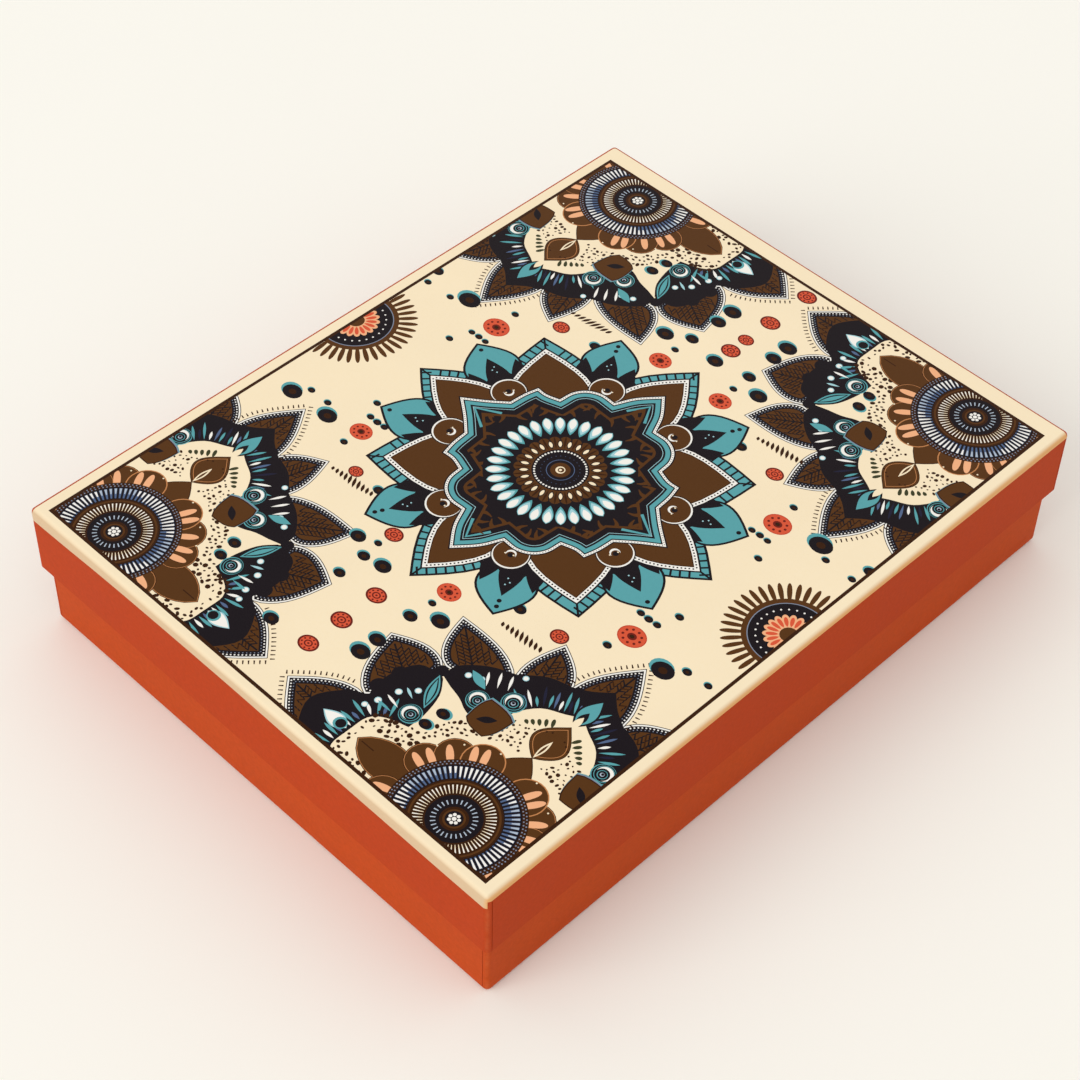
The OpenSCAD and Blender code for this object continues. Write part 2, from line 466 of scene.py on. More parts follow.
class Print(list):
    """Shapes of ink, each (ink, outline), with later ones over earlier ones."""

    def ink(self, name, *outlines):
        for outline in outlines:
            if len(outline) > 2:
                self.append((name, outline))

    def dots(self, name, line, step, radius, sides=6, closed=True):
        for z, _ in walk(line, step, closed):
            self.ink(name, disc(radius, z, sides))

    def ticks(self, name, line, step, length, wide, closed=True):
        """Short strokes to the left of a line."""
        for z, u in walk(line, step, closed):
            self.ink(name, stroke([z, z + 1j * u * length], wide))

    def spokes(self, name, count, start, end, wide, phase=0.0, tip=None):
        """Strokes out from the middle."""
        for k in range(count):
            spoke = stroke([complex(start), complex(end)], wide, tip)
            self.ink(name, turned(spoke, 360 * (k + phase) / count))

    def place(self, motif, at=0, x=1, y=1):
        """Adds a motif, mirrored where x or y is -1."""
        for name, outline in motif:
            self.ink(name, [at + complex(x * z.real, y * z.imag) for z in outline])


# ---------------------------------------------------------------- the middle mandala


def banded_petal(art, outline, angle):
    """The outer part of a large petal: a teal band with rungs."""
    art.ink("black", turned(outline, angle))
    band = inset(outline, 0.62)
    art.ink("teal", turned(band, angle))
    outer = [z for z in band if z.real > 0.55 * max(abs(p) for p in band)]
    for z, u in walk(outer, 2.3, closed=False):
        rung = stroke([z - 1j * u * 0.2, z + 1j * u * 2.4], 0.55)
        art.ink("black", turned(rung, angle))
    tip = band[0]
    art.ink("black", turned(stroke([tip, tip - 4], 0.55), angle))


def brown_petal(art, outline, angle, band=2.3):
    """The inner part of a large petal, with its dotted border."""
    art.ink("black", turned(inset(outline, band), angle))
    art.ink("white", turned(inset(outline, band + 0.45), angle))
    dotted = [p for p in inset(outline, band + 1.05)]
    art.dots("black", turned(dotted, angle), 0.95, 0.27)
    art.ink("line", turned(inset(outline, band + 1.6), angle))
    art.ink("brown", turned(inset(outline, band + 1.85), angle))


def lotus_petal(art, angle, spots):
    """A teal petal with a dark three-pointed lotus."""
    petal = leaf(26, 50.5, 7.8, belly=1.3, steps=18)
    art.ink("black", turned(petal, angle), turned(leaf(18, 42, 8.6), angle))
    art.ink("teal", turned(inset(petal, 0.62), angle))
    art.ink("black", turned(leaf(22, 39.5, 6.6), angle))
    art.ink("black", turned(leaf(26, 44.2, 3.3), angle))
    for side in (-1, 1):
        point = leaf(24, 41.6, 2.7, belly=1.2)
        art.ink("black", turned(point, angle + 9.2 * side))
    for r, dx in ((39.6, 0.5), (40.5, -0.4), (38.4, -0.3)):
        art.ink("sky", turned(disc(0.24, complex(r, dx), 6), angle))
    for k in range(spots):
        art.ink("black", turned(disc(0.62, 47.7 - 1.9 * k, 12), angle))


def scroll(art, at, facing):
    """A brown disc with a pale rim on one side and a small curl."""
    out = cmath.rect(1, math.radians(facing))
    art.ink("black", disc(4.95, at, 28))
    art.ink("white", disc(4.65, at, 28))
    art.ink("brown", disc(4.4, at - 0.22 * out, 28))
    art.ink("white", disc(1.35, at - 0.2 * out, 16))
    art.ink("brown", disc(1.2, at + 0.25 * out, 14))
    art.ink("black", disc(0.75, at + 0.2 * out, 12))
    art.ink("cream", disc(0.26, at + 0.75j * out, 6), disc(0.22, at - 1.5j * out, 6))


def middle_star():
    """The star's outline: four points, four square lobes and four round ones."""
    point = curve(35.9, 30.4 + 4.1j, 25.9 + 8j)
    square = curve(25.9 + 8j, 25.5 + 12.6j, 24.5 + 16.7j, steps=3)
    square += curve(24.5 + 16.7j, 21.4 + 16.6j, 17.8 + 17.7j, steps=3)[1:]
    lobe = curve(17.8 + 17.7j, 17.3 + 21.8j, 15.2 + 25j, 11.6 + 26.8j, 7.2 + 26.8j)
    crown = curve(7.2 + 26.8j, 4.6 + 32.2j, 37.8j)
    return four_ways(point + square[1:] + lobe[1:] + crown[1:])


def middle_mandala():
    art = Print()
    cardinal = leaf(10, 51, 11.7)
    diagonal = leaf(5.3, 48.6, 14.6)
    large = [(0, cardinal), (90, cardinal), (180, cardinal), (270, cardinal)]
    large += [(a, diagonal) for a in (40.2, 139.8, 220.2, 319.8)]
    for angle, outline in large:
        banded_petal(art, outline, angle)
    for angle, spots in ((19.7, 1), (63.6, 2)):
        for a in (angle, 180 - angle, 180 + angle, -angle):
            lotus_petal(art, a, spots)
    for angle, outline in large:
        brown_petal(art, outline, angle, 2.3 if outline is cardinal else 2.9)
    for angle, radius in ((19.7, 30.6), (67.8, 31)):
        for a in (angle, 180 - angle, 180 + angle, -angle):
            scroll(art, cmath.rect(radius, math.radians(a)), a)

    star = middle_star()
    art.ink("black", inset(star, -0.35))
    art.ink("white", star)
    art.dots("black", inset(star, 0.3), 0.75, 0.15)
    art.ink("black", inset(star, 0.65))
    art.ink("teal", inset(star, 1.0))
    art.ink("black", inset(star, 2.2))
    art.ink("sky", inset(star, 2.75))
    art.ink("black", inset(star, 2.9))
    for tip in (30.6, 32.4j, -30.6, -32.4j):
        wing = 5.4 if tip.imag else 6.2
        back = tip / abs(tip)
        sides = [tip - back * wing + back * 1j * wing * 0.58 * s for s in (1, -1)]
        art.ink("teal", stroke([sides[0], tip, sides[1]], 0.8))
    flame = inset(star, 4.6)
    art.ink("brown", flame)
    art.ink("black", inset(flame, 0.75))
    for k, (z, u) in enumerate(walk(flame, 3.3)):
        lean = (0.9 if k % 2 else -0.9) * u
        bend = [z, z + 0.1 * lean + 1.6j * u, z + lean + 3.1j * u]
        art.ink("brown", stroke(curve(*bend, steps=3), 1.5, 0.25))
    art.ink("black", disc(19.3, sides=64))

    for k in range(32):
        angle = 360 * k / 32
        bead = leaf(12.5, 18.7, 1.36, belly=1.3, point=0.62, steps=9)
        art.ink("teal", turned(bead, angle))
        art.ink("sky", turned(leaf(13.4, 18.6, 1.2, 1.25, 0.62, 8), angle))
        art.ink("white", turned(leaf(14.5, 18.4, 0.92, 1.2, 0.62, 7), angle))
    for k in range(24):
        angle = 360 * (k + 0.5) / 24
        art.ink("black", turned(disc(1.75, 10.25, 14), angle))
        art.ink("brown", turned(disc(1.5, 10.25, 14), angle))
    art.ink("brown", disc(9.4, sides=48))
    for k in range(24):
        angle = 360 * k / 24
        art.ink("line", turned(leaf(7.4, 12.1, 0.3, steps=4), angle + 7.5))
        art.ink("black", turned(leaf(7.5, 10.7, 0.72, steps=6), angle))
        art.ink("cream", turned(leaf(8.0, 10.2, 0.45, point=0.6, steps=5), angle))
    art.ink("black", disc(7.2, sides=40))
    art.dots("white", disc(6.55, sides=48), 0.86, 0.3)
    art.ink("black", disc(6.05, sides=40))
    art.dots("steel", disc(4.9, sides=40), 1.2, 0.12, 4)
    art.ink("steel", disc(3.6, sides=32))
    art.ink("black", disc(3.42, sides=32))
    art.ink("brown", disc(2.55, sides=24))
    art.ink("cream", disc(1.25, sides=16))
    art.ink("brown", disc(0.85, 0.12 + 0.1j, 14))
    art.ink("cream", disc(0.4, sides=10))
    return art


# ---------------------------------------------------------------- the corner mandalas
# Drawn for one corner, with both axes running towards the lid's middle.


def bowed(a, b, bulge, away):
    """The line from a to b, bowed away from a point and straighter towards b."""
    lean = 1j * (b - a) / abs(b - a)
    if ((away - a) * lean.conjugate()).real > 0:
        lean = -lean
    steps = [k / 10 for k in range(11)]
    return [a + (b - a) * t + lean * bulge * math.sin(math.pi * t**0.75) for t in steps]


def dark_petal(art, cover, foot, tip, other_foot, bulge, heart, fringed=False):
    """An outer petal from two feet to a tip: hatched, in a dotted border. Small marks are
    left out where the outlines in cover hide them."""

    def shown(*marks):
        return not any(inside(z, shape) for z in marks for shape in cover)

    outline = bowed(foot, tip, bulge, heart) + bowed(other_foot, tip, bulge, heart)[-2::-1]
    outline.append(heart)
    if area(outline) < 0:
        outline.reverse()
    if fringed:
        for z, u in walk(inset(outline, -0.55), 1.3):
            if abs(z) > 44:
                art.ink("line", stroke([z, z - 1j * u * 1.15], 0.42, 0.26))
    art.ink("black", outline)
    art.ink("white", inset(outline, 0.2))
    art.ink("black", inset(outline, 0.6))
    for name, deep, size, sides in (("white", 1.08, 0.24, 5), ("grey", 1.72, 0.19, 4)):
        for z, _ in walk(inset(outline, deep), 0.9):
            if shown(z):
                art.ink(name, disc(size, z, sides))
    field = inset(outline, 2.3)
    art.ink("brown", field)
    axis = (tip - heart) / abs(tip - heart)
    art.ink("black", stroke([heart, tip - 3.6 * axis], 0.45))
    for k in range(3, 30):
        root = heart + axis * k * 1.05
        for sign in (-1, 1):
            vein = cmath.rect(1, sign * math.radians(52)) * axis
            marks = [root + vein * s * 1.9 for s in range(6)]
            for a, b in zip(marks, marks[1:]):
                ends = inside(a, field) and inside(b, field)
                if ends and shown(a, b):
                    art.ink("black" if k % 2 else "line", stroke([a, b], 0.46, 0.24))
            for a in marks[1:]:
                b = a + axis * 1.0 - vein * 0.2
                if inside(a, field) and inside(b, field) and shown(a, b):
                    art.ink("black", stroke([a, b], 0.3))


def inside(p, outline):
    """True if the point lies in the outline."""
    hit = False
    for a, b in zip(outline, outline[1:] + outline[:1]):
        if (a.imag > p.imag) != (b.imag > p.imag):
            x = a.real + (p.imag - a.imag) * (b.real - a.real) / (b.imag - a.imag)
            hit ^= x > p.real
    return hit


def roundel(art, at, radius, facing):
    """A white ring round teal and black."""
    out = cmath.rect(1, math.radians(facing))
    art.ink("teal", disc(radius * 1.36, at - out * radius * 0.1, 22))
    art.ink("black", disc(radius * 1.26, at - out * radius * 0.04, 22))
    art.ink("teal", disc(radius * 1.1, at, 20))
    art.ink("black", disc(radius * 1.02, at, 20))
    art.ink("white", disc(radius * 0.94, at + out * radius * 0.06, 20))
    art.ink("black", disc(radius * 0.8, at - out * radius * 0.18, 18))
    art.ink("teal", disc(radius * 0.58, at - out * radius * 0.2, 14))
    art.ink("black", disc(radius * 0.5, at - out * radius * 0.18, 12))
    art.ink("mist", disc(radius * 0.26, at - out * radius * 0.2, 9))
    art.ink("black", disc(radius * 0.18, at - out * radius * 0.14, 8))


def feathers(art, line, inks, step, length, wide, closed=False):
    """Leaf strokes out from a line, to its right."""
    for k, (z, u) in enumerate(walk(line, step, closed)):
        name = inks[k % len(inks)]
        size = length * (1, 0.62, 0.84, 0.5)[k % 4]
        quill = leaf(0.5, 0.5 + size, wide, belly=1.2, point=0.8, steps=6)
        art.ink(name, [z - 1j * u * p for p in quill])


def speckles(art, count, low, high, allowed, seed, swell=1.0):
    """Brown crumbs scattered where allowed says yes."""
    draw = random.Random(seed)
    placed = []
    for _ in range(count * 12):
        z = complex(
            draw.uniform(low.real, high.real), draw.uniform(low.imag, high.imag)
        )
        size = draw.choice((0.28, 0.34, 0.42, 0.58))
        if len(placed) < count and allowed(z) and all(abs(z - p) > 1.1 for p in placed):
            placed.append(z)
            crumb = disc(size * swell, z, 7, draw.uniform(0.55, 0.95), draw.uniform(0, 180))
            art.ink("line", crumb)


def corner_mandala():
    art = Print()
    # the outer petals
    petals = [
        (-7.4 + 43.6j, -18.1 + 53.2j, -19.1 + 37j, 1.8, -13 + 36j),
        (7.4 + 43.6j, 18.1 + 53.2j, 19.1 + 37j, 1.8, 13 + 36j),
        (32.9 + 28.4j, 41.1 + 42j, 19.1 + 37.4j, 2.3, 23 + 29j),
        (39.7 + 9.4j, 49.1 + 26.4j, 32.9 + 28j, 2.7, 32 + 17j),
        (37.8 - 11.5j, 55.9 + 0.5j, 39.7 + 9.6j, 2.2, 34 - 0.3j, True),
        (39.8 - 11j, 49.1 - 26.4j, 32.9 - 28j, 2.7, 32 - 17j),
        (-7.9 + 42.8j, 61.3j, 7.9 + 42.8j, 2.1, 36j, True),
    ]
    # the dark band between the petals and the cream ground, in two sweeps
    upper = curve(19.1 + 22.3j, 25 + 24.3j, 31.2 + 26.2j, steps=4)
    upper += curve(31.2 + 26.2j, 31 + 30.5j, 26 + 35.5j, 19.5 + 38.6j, steps=4)[1:]
    upper += curve(19.5 + 38.6j, 14 + 43.2j, 8.2 + 45j, steps=4)[1:]
    upper += curve(8.2 + 45j, 4 + 47.4j, 51j, steps=4)[1:]
    upper += [-z.conjugate() for z in reversed(upper)]
    lower = curve(31.4 + 26j, 37.4 + 24.4j, 40 + 17.2j, 38.9 + 10.2j, steps=4)
    lower += curve(38.9 + 10.2j, 43.6 + 7.2j, 47.5 + 0j, 43.6 - 7.2j, 39 - 11j, steps=4)[1:]
    lower += curve(39 - 11j, 40 - 17.2j, 37.4 - 24.4j, 31.4 - 26j, steps=4)[1:]
    lower += [20 - 20j, 20 + 20j]
    for petal in petals:
        dark_petal(art, (upper, lower), *petal)
    art.ink("black", upper, lower)
    for z, radius in ((32.4 + 26.9j, 1.7), (38.3 + 19.5j, 2.2), (39.2 + 13.6j, 2.2)):
        for mirror in (z, -z.conjugate(), z.conjugate()):
            art.ink("black", disc(radius, mirror, 18))

    # the cream ground, from the long side's arch to the dome over the other axis
    ground = curve(34.4, 34.1 + 5.4j, 31 + 8.4j, 25.6 + 10.2j, steps=4)
    ground += curve(25.6 + 10.2j, 25.7 + 15.2j, 27.4 + 21.5j, 30.6 + 25.7j, steps=4)[1:]
    ground += curve(30.6 + 25.7j, 24 + 24.3j, 18.8 + 22.4j, 12.2 + 24.6j, steps=4)[1:]
    ground += curve(12.2 + 24.6j, 12.1 + 30j, 8.8 + 35.4j, 3.6 + 38.2j, 40.3j, steps=4)[1:]
    half = ground + [-z.conjugate() for z in reversed(ground)][1:]
    art.ink("cream", half + [z.conjugate() for z in reversed(half)][1:-1])

    # feathers and roundels in the band
    dome = [z for z in ground if z.imag > 31 and z.real < 12.2]
    for side in (1, -1):
        line = dome if side == 1 else [-z.conjugate() for z in reversed(dome)]
        feathers(art, line, ("teal", "steel", "white", "teal", "navy"), 1.2, 6.2, 0.36)
    arch = [z for z in ground if z.imag < 9.2 and z.real > 29]
    arch = [z.conjugate() for z in reversed(arch)] + arch[1:]
    feathers(art, arch, ("teal", "white", "teal", "steel"), 1.3, 5.8, 0.42)
    for at, radius, facing in (
        (14.3 + 32.3j, 2.2, 60),
        (20.6 + 27j, 2.1, 50),
        (28.3 + 13.2j, 2.1, 20),
    ):
        for side in (1, -1):
            turned_at = complex(side * at.real, at.imag)
            roundel(art, turned_at, radius, facing if side == 1 else 180 - facing)
    for z, r in (
        (17.3 + 39.2j, 0.7),
        (27.2 + 30.4j, 0.75),
        (24.2 + 31.8j, 0.7),
        (31.8 + 19j, 0.75),
        (34.7 + 15.6j, 0.8),
        (36.2 + 10.6j, 0.8),
        (37.4 + 7.6j, 0.7),
    ):
        for side in (1, -1):
            art.ink("sky", disc(r + 0.12, complex(side * z.real, z.imag), 10))
            art.ink("white", disc(r - 0.12, complex(side * z.real, z.imag), 10))
    for at, turn, long, name in (
        (17.6 + 33.6j, 62, 4.6, "white"),
        (19.8 + 32.4j, 58, 4.8, "white"),
        (22.0 + 31.0j, 54, 4.4, "white"),
        (31.4 + 12.3j, 12, 4.6, "white"),
        (31.6 + 10.4j, 2, 4.6, "teal"),
        (31 + 16.4j, 24, 3.6, "sky"),
    ):
        quill = leaf(0, long, 0.36, belly=1.3, point=0.8, steps=6)
        for side in (1, -1):
            shape = turned(quill, turn, at)
            art.ink(name, [complex(side * z.real, z.imag) for z in shape])
    for name, trim in (("teal", 0), ("black", 0.45), ("teal", 0.85)):
        blade = leaf(1.6 * trim, 10.4 - 1.6 * trim, 1.5 - trim)
        for side in (1, -1):
            shape = turned(blade, 64, 27.2 + 16.4j)
            art.ink(name, [complex(z.real, side * z.imag) for z in shape])
    for side in (1, -1):
        fan = turned(leaf(0, 6.4, 1.15), 18, 21.5 + 30.2j)
        art.ink("teal", [complex(side * z.real, z.imag) for z in fan])
    # a pointed teal leaf over the dome, and a white eye in the long side's petal
    crown = [z * 1j for z in leaf(37.6, 46.8, 2.1, belly=0.85)]
    art.ink("black", inset(crown, -0.5))
    art.ink("teal", crown)
    art.ink("black", [z * 1j for z in leaf(37.4, 42.4, 1.05)])
    art.ink("cream", [z * 1j for z in leaf(36, 40.6, 0.9)])
    art.ink("sky", leaf(35.2, 42.9, 2.1, belly=0.8))
    art.ink("white", leaf(35.2, 42.5, 1.75, belly=0.8))
    art.ink("teal", disc(1.75, 37.2, 16))
    art.ink("black", disc(1.3, 37.0, 14))

    # two ink drops and crumbs on the cream ground
    for side in (1, -1):
        art.place(ink_drop(2.0), 22.8 + side * 18.5j)
        art.place(ink_drop(1.9), 23.5 + side * 13.6j)
    speckles(art, 120, 14 - 12j, 34 + 12j, lambda z: abs(z) > 22.5 and z.real < 33.6
             and abs(z.imag) < 9.3 and not (abs(z.imag) < 4.6 and z.real < 32.5), 3, 1.3)
    speckles(art, 60, 3 + 21j, 12 + 29j, lambda z: abs(z) > 23.5 and z.real > 2.6
             and abs(z - 28j) > 5.6, 5)
    speckles(art, 60, -12 + 21j, -3 + 29j, lambda z: abs(z) > 23.5 and z.real < -2.6
             and abs(z - 28j) > 5.6, 6)
    speckles(art, 75, 13 + 10j, 25 + 21j, lambda z: 23 < abs(z) < 27.5
             and abs(z - 22.8 - 18.5j) > 2.5 and abs(z - 23.5 - 13.6j) > 2.4, 7, 1.3)
    speckles(art, 75, 13 - 21j, 25 - 10j, lambda z: 23 < abs(z) < 27.5
             and abs(z - 22.8 + 18.5j) > 2.5 and abs(z - 23.5 + 13.6j) > 2.4, 8, 1.3)

    # the leaf under the dome, its seeds, and the tilted leaves beside it
    bud = [z * 1j for z in leaf(24.1, 36.3, 4.75, belly=0.86, point=1.05, steps=16)]
    art.ink("line", inset(bud, -0.2))
    art.ink("brown", bud)
    art.ink("tan", inset(bud, 0.55))
    art.ink("brown", inset(bud, 0.7))
    art.ink("cream", [z * 1j for z in leaf(24.2, 30.6, 0.72)])
    art.ink("brown", [z * 1j for z in leaf(25.2, 29.4, 0.32, steps=5)])
    for side in (-1, 1):
        for k in range(5):
            at = complex(side * (3.0 + 1.15 * k), 34.4 - 0.75 * k)
            seed = turned(drop(0, 2.7 - 0.3 * k, 0.5, 6), 90 - side * (28 + 9 * k), at - 1.3j)
            art.ink("moss", seed)
            art.ink("line", disc(0.3, at - complex(side * 1.1, 2.0), 6))
        knots = [10.2 + 27.9j, 18.3 + 29.2j, 18.8 + 21.7j, 12.3 + 20.2j]
        block = []
        for a, b in zip(knots, knots[1:] + knots[:1]):
            block += bowed(a, b, 0.7, 15 + 25j)[:-1:2]
        shape = [complex(side * z.real, z.imag) for z in block]
        art.ink("teal", [z + 0.35j for z in inset(shape, -0.3)])
        art.ink("grey", [z + 0.2j for z in inset(shape, -0.22)])
        art.ink("line", inset(shape, -0.12))
        art.ink("brown", inset(shape, 0.2))
        vein = turned(leaf(-2.5, 2.5, 0.95), -38, 14.9 + 24.3j)
        art.ink("black", [complex(side * z.real, z.imag) for z in vein])

    # the flower's brown petals with their fingers
    blunt = leaf(9, 31.2, 5.1, belly=1.25, point=0.72)
    art.ink("line", inset(blunt, -0.2))
    art.ink("tan", blunt)
    art.ink("brown", inset(blunt, 0.14))
    art.ink("line", stroke([26 + 0j, 30 + 0j], 0.3))
    for sign in (1, -1):
        for angle in (21.8, 44, 136, 158.2):
            art.ink("line", turned(disc(5.0, 17.4, 22), sign * angle))
            art.ink("tan", turned(disc(4.8, 17.4, 22), sign * angle))
            art.ink("brown", turned(disc(4.66, 17.4, 22), sign * angle))
    spear = [z * 1j for z in leaf(6, 23.8, 5.0, belly=1.25)]
    art.ink("line", inset(spear, -0.25))
    art.ink("brown", spear)
    for angle in (66, 114, -66, -114):
        art.ink("tan", turned(disc(5.25, 16.7, 26), angle))
        art.ink("brown", turned(disc(4.95, 16.7, 26), angle))
    for angle in (180,):
        art.ink("brown", turned(leaf(9, 28, 4.3, belly=1.15), angle))
    for angle in (17.2, 26.8, 40.6, 57.9, 66.3, 113.7, 122.1, 139.4, 153.2, 162.8):
        for sign in (1, -1):
            finger = drop(13.4, 20.6, 0.92, 8)
            art.ink("peach", turned(finger, sign * angle))
    for angle in (33, 74, 50, 106, 130):
        art.ink("cream", turned(disc(0.25, 20.6, 6), angle))

    # the wheel
    art.ink("line", disc(16.4, sides=64))
    art.dots("grey", disc(15.9, sides=64), 0.95, 0.24, 4)
    art.dots("grey", disc(15.25, sides=64), 0.95, 0.24, 4)
    art.ink("black", disc(14.9, sides=60))
    art.spokes("steel", 72, 11.1, 14.5, 0.4, tip=0.72)
    for k in range(72):
        shade = math.sin(TURN * k / 24 + 0.6)
        spoke = stroke([complex(12.6 if shade > 0 else 11.5), complex(14.4)], 0.28, 0.6)
        art.ink("mist" if shade > 0.5 else "white", turned(spoke, 5 * k))
    art.ink("line", disc(10.9, sides=52))
    art.ink("brown", disc(10.4, sides=52))
    art.ink("line", disc(9.9, sides=52))
    art.spokes("cream", 60, 6.95, 9.35, 0.14, tip=0.36)
    art.spokes("white", 60, 7.9, 9.3, 0.14, tip=0.28)
    art.ink("line", disc(6.85, sides=44))
    art.ink("black", disc(6.5, sides=44))
    art.spokes("mist", 28, 4.1, 5.3, 0.24, tip=0.32)
    art.ink("line", disc(3.3, sides=30))
    art.ink("brown", disc(2.6, sides=26))
    art.ink("black", disc(2.1, sides=24))
    for k in range(7):
        art.ink("white", turned(disc(0.45, 1.15, 8), 360 * k / 7))
    art.ink("white", disc(0.55, sides=9))
    return art


# ---------------------------------------------------------------- the rest of the print


def half_sun():
    art = Print()
    for k in range(40):
        art.ink("brown", turned(drop(9.6, 16.3, 0.66, 8), 9 * k + 4.5))
    art.ink("brown", disc(11.3, sides=48))
    art.ink("grey", disc(9.95, sides=48))
    art.ink("black", disc(9.7, sides=48))
    art.dots("white", disc(7.9, sides=40), 1.9, 0.27)
    for k in range(18):
        art.ink("peach", turned(drop(1.4, 6.3, 0.98, 8), 20 * k))
    for k in range(18):
        art.ink("coral", turned(drop(2.4, 5.5, 0.52, 7), 20 * k))
    art.ink("brown", disc(2.3, sides=18))
    return art


def coral_bead(radius):
    """A coral disc with a ring of dots: a large one has a dark eye, a small one a dark rim."""
    art = Print()
    flat = 0.84
    small = radius < 3
    art.ink("maroon" if small else "rust", disc(radius, 0, 26, flat))
    art.ink("coral", disc(radius * (0.8 if small else 0.92), 0, 26, flat))
    for k in range(9):
        z = cmath.rect(radius * 0.64, TURN * k / 9)
        art.ink("maroon", disc(radius * 0.1, complex(z.real, z.imag * flat), 7))
    art.ink("maroon", disc(radius * (0.42 if small else 0.33), 0, 14, flat))
    if small:
        art.ink("coral", disc(radius * 0.28, 0, 12, flat))
        art.ink("maroon", disc(radius * 0.12, 0, 8, flat))
    else:
        art.ink("line", disc(radius * 0.17, 0, 10, flat))
    return art


def ink_drop(radius):
    """A dark oval with a teal shadow on one side."""
    art = Print()
    shift = complex(-0.13, 0.08) * radius
    art.ink("teal", disc(radius * 0.97, shift, 18, 0.8))
    art.ink("black", disc(radius * 0.9, -shift * 0.6, 18, 0.8))
    art.ink("line", disc(radius * 0.35, -shift * 0.6, 12, 0.8))
    return art


def lid_print():
    art = Print()
    corners = ((-59.4, -92.6), (59.4, -92.7), (60.0, 89.1), (-58.2, 89.1))
    motif = corner_mandala()
    for x, y in corners:
        art.place(motif, complex(x, y), -1 if x > 0 else 1, -1 if y > 0 else 1)
    sun = half_sun()
    art.place(sun, -75.3)
    art.place(sun, 75.3)

    beads = [(0.5, 92.7, 2.9), (0.5, 78, 2.9), (0.5, 68.4, 2.3), (0.5, 62.5, 2.8)]
    beads += [(-9.6, 46.5, 3.2), (11.3, 46.5, 3.2), (-36.3, 37, 2.5), (38.2, 37, 2.5)]
    beads += [(-48, 24.7, 3.8), (50, 24.7, 3.8), (-43.7, -26.8, 3.2), (50.2, -26.8, 3.8)]
    beads += [(-34.2, -37.1, 2.1), (38.5, -39, 2.5), (-12, -44.8, 2.6), (10.7, -48, 3.2)]
    beads += [(-0.5, -61, 2.8), (-0.5, -72, 2.9), (-0.5, -82.3, 2.8)]
    for x, y, r in beads:
        art.place(coral_bead(r), complex(x, y))
    drops = [(9.7, 74, 2.9), (9.7, 68.4, 2.5), (10, 58.6, 2.1), (16.3, 55, 2.8)]
    drops += [(25.5, 38.2, 1.8), (10.2, 52.3, 1.2), (48.6, 31.8, 1.2)]
    drops += [(46.5, 18.8, 1.1), (49, 18.9, 1.2), (51.5, 18.8, 1.1), (53.8, 12.9, 1.2)]
    drops += [(61.2, 27.2, 3.6), (65.4, 24.2, 1.2), (73.8, 24, 1.2), (75.2, 29, 1.9)]
    for x, y, r in drops:
        for side in (-1, 1):
            art.place(ink_drop(r), complex(side * x + 0.4, y))
    drops = [(0.2, 56.7, 2.6), (62, -29, 3.4), (-66.8, -29.5, 3.2), (-54, -29, 3.1)]
    drops += [(66.4, -25.4, 1.4), (72.6, -25, 1.2), (-57.3, -25.9, 1.2), (-63.6, -25.8, 1.2)]
    drops += [(-48.5, -17, 1.2), (53.8, -14.4, 1.3), (48, -32.8, 1.3), (-44, -32.3, 1.2)]
    drops += [(-46, -21.5, 1.2), (-43.4, -21.6, 1.3), (-40.9, -21.5, 1.2)]
    drops += [(46.6, -20, 1.2), (49.2, -20.1, 1.3), (51.8, -20, 1.2), (26, -39.6, 1.9)]
    drops += [(-12.6, -49.4, 1.2), (-17.8, -51.2, 2.4), (-12, -54.6, 1.9), (-6.4, -53.6, 2.6)]
    drops += [(10.4, -53.2, 1.2), (15.7, -55.6, 2.8), (9.7, -59.6, 2.1), (-12, -62.4, 1.8)]
    drops += [(9.7, -70, 2.5), (9.6, -75.2, 2.9), (-12.4, -83.4, 2.3), (-25.6, -37.4, 1.7)]
    for x, y, r in drops:
        art.place(ink_drop(r), complex(x, y))
    for x, y, lean, count in ((-38, 43.2, 60, 9), (27, 43.4, 120, 10)):
        for k in range(count):
            long = 1.9 - 0.24 * abs(k - count / 2)
            dash = leaf(-max(long, 0.6), max(long, 0.6), 0.45, steps=6)
            art.ink("line", turned(dash, lean, complex(x + 1.45 * k, y + 0.18 * k)))
    for x, y, lean, count in ((-39, -40.4, -60, 10), (26.6, -45.8, 120, 9)):
        for k in range(count):
            long = 1.9 - 0.24 * abs(k - count / 2)
            dash = leaf(-max(long, 0.6), max(long, 0.6), 0.45, steps=6)
            art.ink("line", turned(dash, lean, complex(x + 1.45 * k, y + 0.1 * k)))
    art.place(middle_mandala(), 0.4 - 0.3j)
    return art


# ---------------------------------------------------------------- the printed sheet
# The sheet is laid out flat in millimetres, with its folds' lines, and then bent over two
# edges of the lid. The flat pattern runs past each fold by the length of paper beyond it.

SHEET_T = 0.15
LEFT_X, FAR_Y, TOP_Z = -78.75, 101.25, 40.0
CORNER = 0.7
FOLD = 1.5
FOLD_X, FOLD_Y = 80.15 - FOLD, -102.65 + FOLD
DROP_X = FOLD * math.asin(1.39 / FOLD + 0.07)
DROP_Y = FOLD * math.pi / 2 + 2.0
LINE_X = (-75.9, 76.5)
LINE_Y = (-99.7, 96.6)
LINE_W = 0.95


